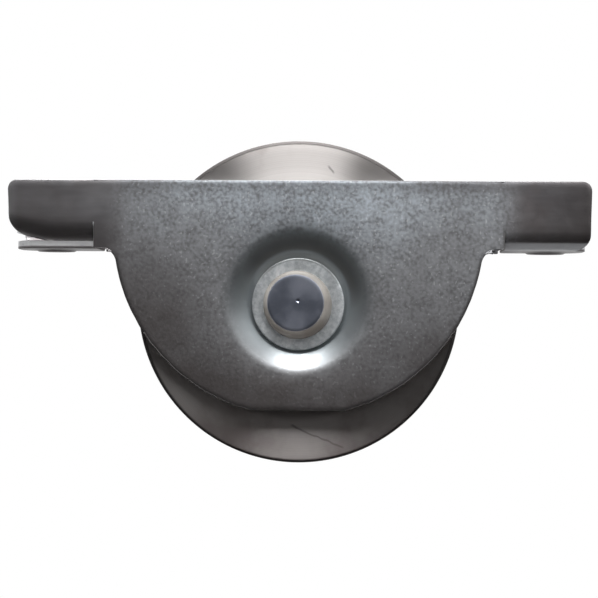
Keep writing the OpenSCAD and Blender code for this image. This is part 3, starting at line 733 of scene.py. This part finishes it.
# Washer: bright bluish zinc with small scuffs, its upper rim darkened as painted shade
def washerZinc():
    k = washerLook
    f = Finish("washerZinc")
    x, _, z = f.axes()
    grain, scuff = f.noise(*k["grain"]), f.noise(*k["scuff"])
    up = f.minus(z, (shell["axle"] - washerSizes["drop"]) * mm)
    colour = f.mix(f.between(grain, *k["grained"]), k["dark"], k["pale"])
    colour = f.mix(f.between(scuff, *k["scuffed"]), colour, k["scuffPale"])
    # painted shade on the upper rim
    colour = f.mix(f.times(f.mark(f.apart(x, up), k["rim"]), f.mark(up, k["upper"])), colour, k["dull"])
    return f.finish(colour, f.between(scuff, *k["glossy"]), f.bump(grain, *k["relief"]), k["metallic"])


axleLook = dict(
    flank=(0.37, 0.345, 0.315), flankPale=(0.48, 0.46, 0.43), flankLow=(0.16, 0.12, 0.10),
    flankTop=(0.17, 0.165, 0.155), end=(0.50, 0.55, 0.68), endPale=(0.60, 0.64, 0.76),
    endGrain=(0.72, 0.75, 0.82), grain=(1200.0, 3.0, 0.6), film=(180.0, 3.0, 0.5), filmed=(0.35, 0.7),
    grained=(0.5, 0.75, 0.0, 0.25), glossy=(0.3, 0.7, 0.30, 0.40),
    onEnd=(axleSizes["end"] - 0.12, axleSizes["end"] - 0.04, 0.0, 1.0), onPip=(1.3, 1.6, 1.0, 0.0),
    low=(-6.8, -3.5, 0.3, 0.0), top=(3.0, 6.0, 0.0, 0.45), flankMatt=(0.0, 1.0, 0.34, 0.0),
    metallic=(0.0, 1.0, 0.65, 1.0), relief=(0.12, 0.06))


# Axle: dark blued end face, worn warm flank round it, darker on top as painted shade and darker at the bottom
def axleSteel():
    k = axleLook
    f = Finish("axleSteel")
    x, y, z = f.axes()
    grain, film = f.noise(*k["grain"]), f.noise(*k["film"])
    up = f.minus(z, shell["axle"] * mm)
    onEnd = f.most(f.mark(f.size(y), k["onEnd"]), f.mark(f.apart(x, up), k["onPip"]))
    flank = f.mix(f.between(film, *k["filmed"]), k["flank"], k["flankPale"])
    flank = f.mix(f.mark(up, k["low"]), flank, k["flankLow"])
    # painted shade on the top of the flank, against the lamp's highlight there
    flank = f.mix(f.mark(up, k["top"]), flank, k["flankTop"])
    end = f.mix(f.between(film, *k["filmed"]), k["end"], k["endPale"])
    end = f.mix(f.between(grain, *k["grained"]), end, k["endGrain"])
    gloss = f.plus(f.between(film, *k["glossy"]), f.between(onEnd, *k["flankMatt"]))
    metallic = f.between(onEnd, *k["metallic"])
    return f.finish(f.mix(onEnd, flank, end), gloss, f.bump(grain, *k["relief"]), metallic)


bearingLook = dict(grain=(1800.0, 3.0, 0.6), film=(160.0, 3.0, 0.5), grained=(0.3, 0.7),
                   filmed=(0.45, 0.7, 0.0, 0.35), filmShare=0.7, glossy=(0.3, 0.7), glossRange=0.12,
                   relief=(0.08, 0.04))


# Plain bearing steel, with fine grinding grain and a soft oil film
def bearingSteel(name, dark, pale, rough):
    k = bearingLook
    f = Finish(name)
    grain, film = f.noise(*k["grain"]), f.noise(*k["film"])
    colour = f.mix(f.between(grain, *k["grained"]), dark, pale)
    colour = f.mix(f.between(film, *k["filmed"]), colour, tuple(k["filmShare"] * v for v in dark))
    gloss = f.between(film, *k["glossy"], rough, rough + k["glossRange"])
    return f.finish(colour, gloss, f.bump(grain, *k["relief"]))


sheetFinish, edgeFinish, washerFinish = zincSheet(), shearedEdge(), washerZinc()
for piece, finishes in ((frontShell, (sheetFinish, edgeFinish)), (rearShell, (sheetFinish, edgeFinish)),
                        (rollerWheel, (turnedSteel(),)), (rivetedAxle, (axleSteel(),)),
                        (frontWasher, (washerFinish,)), (rearWasher, (washerFinish,))):
    for material in finishes:
        piece.data.materials.append(material)

# Finishes of the bearing: dark tone, pale tone, lowest roughness
ringFinish = bearingSteel("bearingSteel", (0.55, 0.55, 0.56), (0.68, 0.68, 0.69), 0.22)
ballFinish = bearingSteel("ballSteel", (0.68, 0.68, 0.69), (0.78, 0.78, 0.79), 0.10)
cageFinish = bearingSteel("cageSteel", (0.52, 0.49, 0.42), (0.64, 0.61, 0.54), 0.30)
shieldFinish = bearingSteel("shieldSteel", (0.40, 0.40, 0.41), (0.54, 0.54, 0.55), 0.34)
springFinish = bearingSteel("springSteel", (0.11, 0.11, 0.12), (0.19, 0.19, 0.20), 0.38)
nodeFinishes = dict(outer_ring=ringFinish, inner_ring=ringFinish, cage_front=cageFinish, cage_rear=cageFinish,
                    cage_rivets=cageFinish, shield_front=shieldFinish, shield_rear=shieldFinish,
                    retaining_ring=springFinish, **{f"ball_{n}": ballFinish for n in range(1, 9)})
for node, material in nodeFinishes.items():
    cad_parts[node].data.materials.clear()
    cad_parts[node].data.materials.append(material)
print("materials:", len(bpy.data.materials))

# Which body each piece rides on, and what it stands for
for piece, body, node, slot in (
        (frontShell, "bracket", "front_shell", "zinc_sheet"),
        (rearShell, "bracket", "rear_shell", "zinc_sheet"),
        (rollerWheel, "wheel", "wheel", "turned_steel"),
        (rivetedAxle, "bracket", "axle", "axle_steel"),
        (frontWasher, "bracket", "front_washer", "washer_zinc"),
        (rearWasher, "bracket", "rear_washer", "washer_zinc")):
    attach(piece, body)
    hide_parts(node)

# The sweep in millimetres; from near to far it turns white, from darkFrom to darkTo its mirror image pales
stage = dict(floor=-135.0, front=-1400.0, back=850.0, sweep=300.0, high=1300.0, half=1600.0,
             near=130.0, far=320.0, darkFrom=60.0, darkTo=160.0, grain=(500.0, 3.0, 0.5), grained=(0.3, 0.7),
             paper=(0.80, 0.80, 0.80), paperPale=(0.84, 0.84, 0.84), dark=(0.010, 0.0095, 0.009), matt=0.9)


# Floor and backdrop in one sweep: flat, a quarter turn, then upright, carried along X
def sweepPiece():
    s = stage
    bend = arcPoints(s["back"], s["floor"] + s["sweep"], s["sweep"], -90, 0, 12)
    line = np.concatenate([linePoints((s["front"], s["floor"]), (s["back"], s["floor"]), 8)[:-1], bend,
                           [(s["back"] + s["sweep"], s["high"])]])
    x = np.linspace(-s["half"], s["half"], 9)
    grid = np.stack([x + 0 * line[:, :1], line[:, :1] + 0 * x, line[:, 1:] + 0 * x], -1)
    return pieceFromPatches("studioSweep", [(grid, False, False)], ((0, 100, s["floor"]), (0, 0, 1)))


# Pale paper that keeps the shadow near the object and is plain white farther off; the object mirrors white
# paper behind itself and a dark room floor in front
def sweepPaper():
    s = stage
    f = Finish("sweepPaper")
    x, y, _ = f.axes()
    far = f.mark(f.apart(x, y), (s["near"], s["far"]))
    rays = f.add("ShaderNodeLightPath").outputs
    dark = f.times(rays["Is Glossy Ray"], f.mark(y, (s["darkFrom"], s["darkTo"], 1.0, 0.0)))
    seen = f.most(rays["Is Camera Ray"], rays["Is Glossy Ray"], rays["Is Transmission Ray"])
    paper = f.mix(f.between(f.noise(*s["grain"]), *s["grained"]), s["paper"], s["paperPale"])
    f.finish(f.mix(dark, paper, s["dark"]), s["matt"], metallic=0.0)
    white = f.add("ShaderNodeEmission")
    blend = f.add("ShaderNodeMixShader")
    f.put(blend.inputs[0], f.times(f.minus(seen, dark), far))
    f.put(blend.inputs[1], f.shader.outputs[0])
    f.put(blend.inputs[2], white.outputs[0])
    f.put(f.tree.nodes["Material Output"].inputs["Surface"], blend.outputs[0])
    return f.material


studioSweep = sweepPiece()
studioSweep.data.materials.append(sweepPaper())

# Grey of the room from straight below (0) to straight above (1), and its green's share
roomStops = ((0.46, 0.012), (0.54, 0.10), (0.68, 0.18), (1.0, 0.50))
roomGreen = 0.99


# Room round the object: dark below, dim at eye level, bright above; the camera itself sees white
def roomLight():
    world = bpy.data.worlds.new("room")
    scene.world = world
    world.use_nodes = True
    tree = world.node_tree
    place, split, lift, ramp, rays = (tree.nodes.new("ShaderNode" + kind) for kind in (
        "TexCoord", "SeparateXYZ", "MapRange", "ValToRGB", "LightPath"))
    lift.inputs["From Min"].default_value = -1
    stops = ramp.color_ramp.elements
    stops[0].position, stops[1].position = roomStops[0][0], roomStops[-1][0]
    for height, _ in roomStops[1:-1]:
        stops.new(height)
    for stop, (_, level) in zip(stops, roomStops):
        stop.color = (level, level * roomGreen, level, 1)
    seen = tree.nodes.new("ShaderNodeMath")
    seen.operation = "MAXIMUM"
    blend = tree.nodes.new("ShaderNodeMix")
    blend.data_type = "RGBA"
    blend.inputs[7].default_value = (1, 1, 1, 1)
    for start, end in ((place.outputs["Generated"], split.inputs[0]),
                       (split.outputs[2], lift.inputs["Value"]),
                       (lift.outputs["Result"], ramp.inputs["Fac"]),
                       (rays.outputs["Is Camera Ray"], seen.inputs[0]),
                       (rays.outputs["Is Transmission Ray"], seen.inputs[1]),
                       (seen.outputs[0], blend.inputs["Factor"]),
                       (ramp.outputs["Color"], blend.inputs[6]),
                       (blend.outputs[2], tree.nodes["Background"].inputs["Color"])):
        tree.links.new(start, end)


# Lamps in metres and watts
lampAim = (0.0, -0.01, -0.013)
lamps = dict(keyBox=dict(place=(-0.012, -0.099, 0.273), width=0.21, depth=0.20, power=1.86),
             rightBox=dict(place=(0.270, -0.250, 0.190), width=0.26, depth=0.24, power=0.33))


# Lamp with an oblong face that looks at the roller; the camera doesn't see it
def softBox(name, place, width, depth, power):
    lamp = bpy.data.lights.new(name, "AREA")
    lamp.shape, lamp.size, lamp.size_y, lamp.energy = "RECTANGLE", width, depth, power
    holder = bpy.data.objects.new(name, lamp)
    holder.location = place
    holder.rotation_euler = (Vector(lampAim) - Vector(place)).to_track_quat("-Z", "Y").to_euler()
    holder.visible_camera = False
    scene.collection.objects.link(holder)


roomLight()
for name, lamp in lamps.items():
    softBox(name, **lamp)

# The photo's view in degrees and metres
view = dict(azimuth=2.0, elevation=-0.9, distance=0.49, angle=17.26, roll=0.4, aim=(0.0002, -0.010, -0.01235),
            sensor=36.0, nearest=0.01, farthest=10.0)


# Camera at the photo's place: a little to the right, below the axle, rolled by less than a degree
def photoCamera():
    v = view
    az, el = math.radians(v["azimuth"]), math.radians(v["elevation"])
    back = Vector((math.sin(az) * math.cos(el), -math.cos(az) * math.cos(el), math.sin(el)))
    camera = bpy.data.objects.new("photoCamera", bpy.data.cameras.new("photoCamera"))
    scene.collection.objects.link(camera)
    camera.location = Vector(v["aim"]) + back * v["distance"]
    turn = (-back).to_track_quat("-Z", "Y").to_matrix() @ Matrix.Rotation(math.radians(v["roll"]), 3, "Z")
    camera.rotation_euler = turn.to_euler()
    camera.data.sensor_fit, camera.data.sensor_width = "HORIZONTAL", v["sensor"]
    camera.data.lens = v["sensor"] / 2 / math.tan(math.radians(v["angle"] / 2))
    camera.data.clip_start, camera.data.clip_end = v["nearest"], v["farthest"]
    scene.camera = camera


photoCamera()
print("stage, light and camera in place")
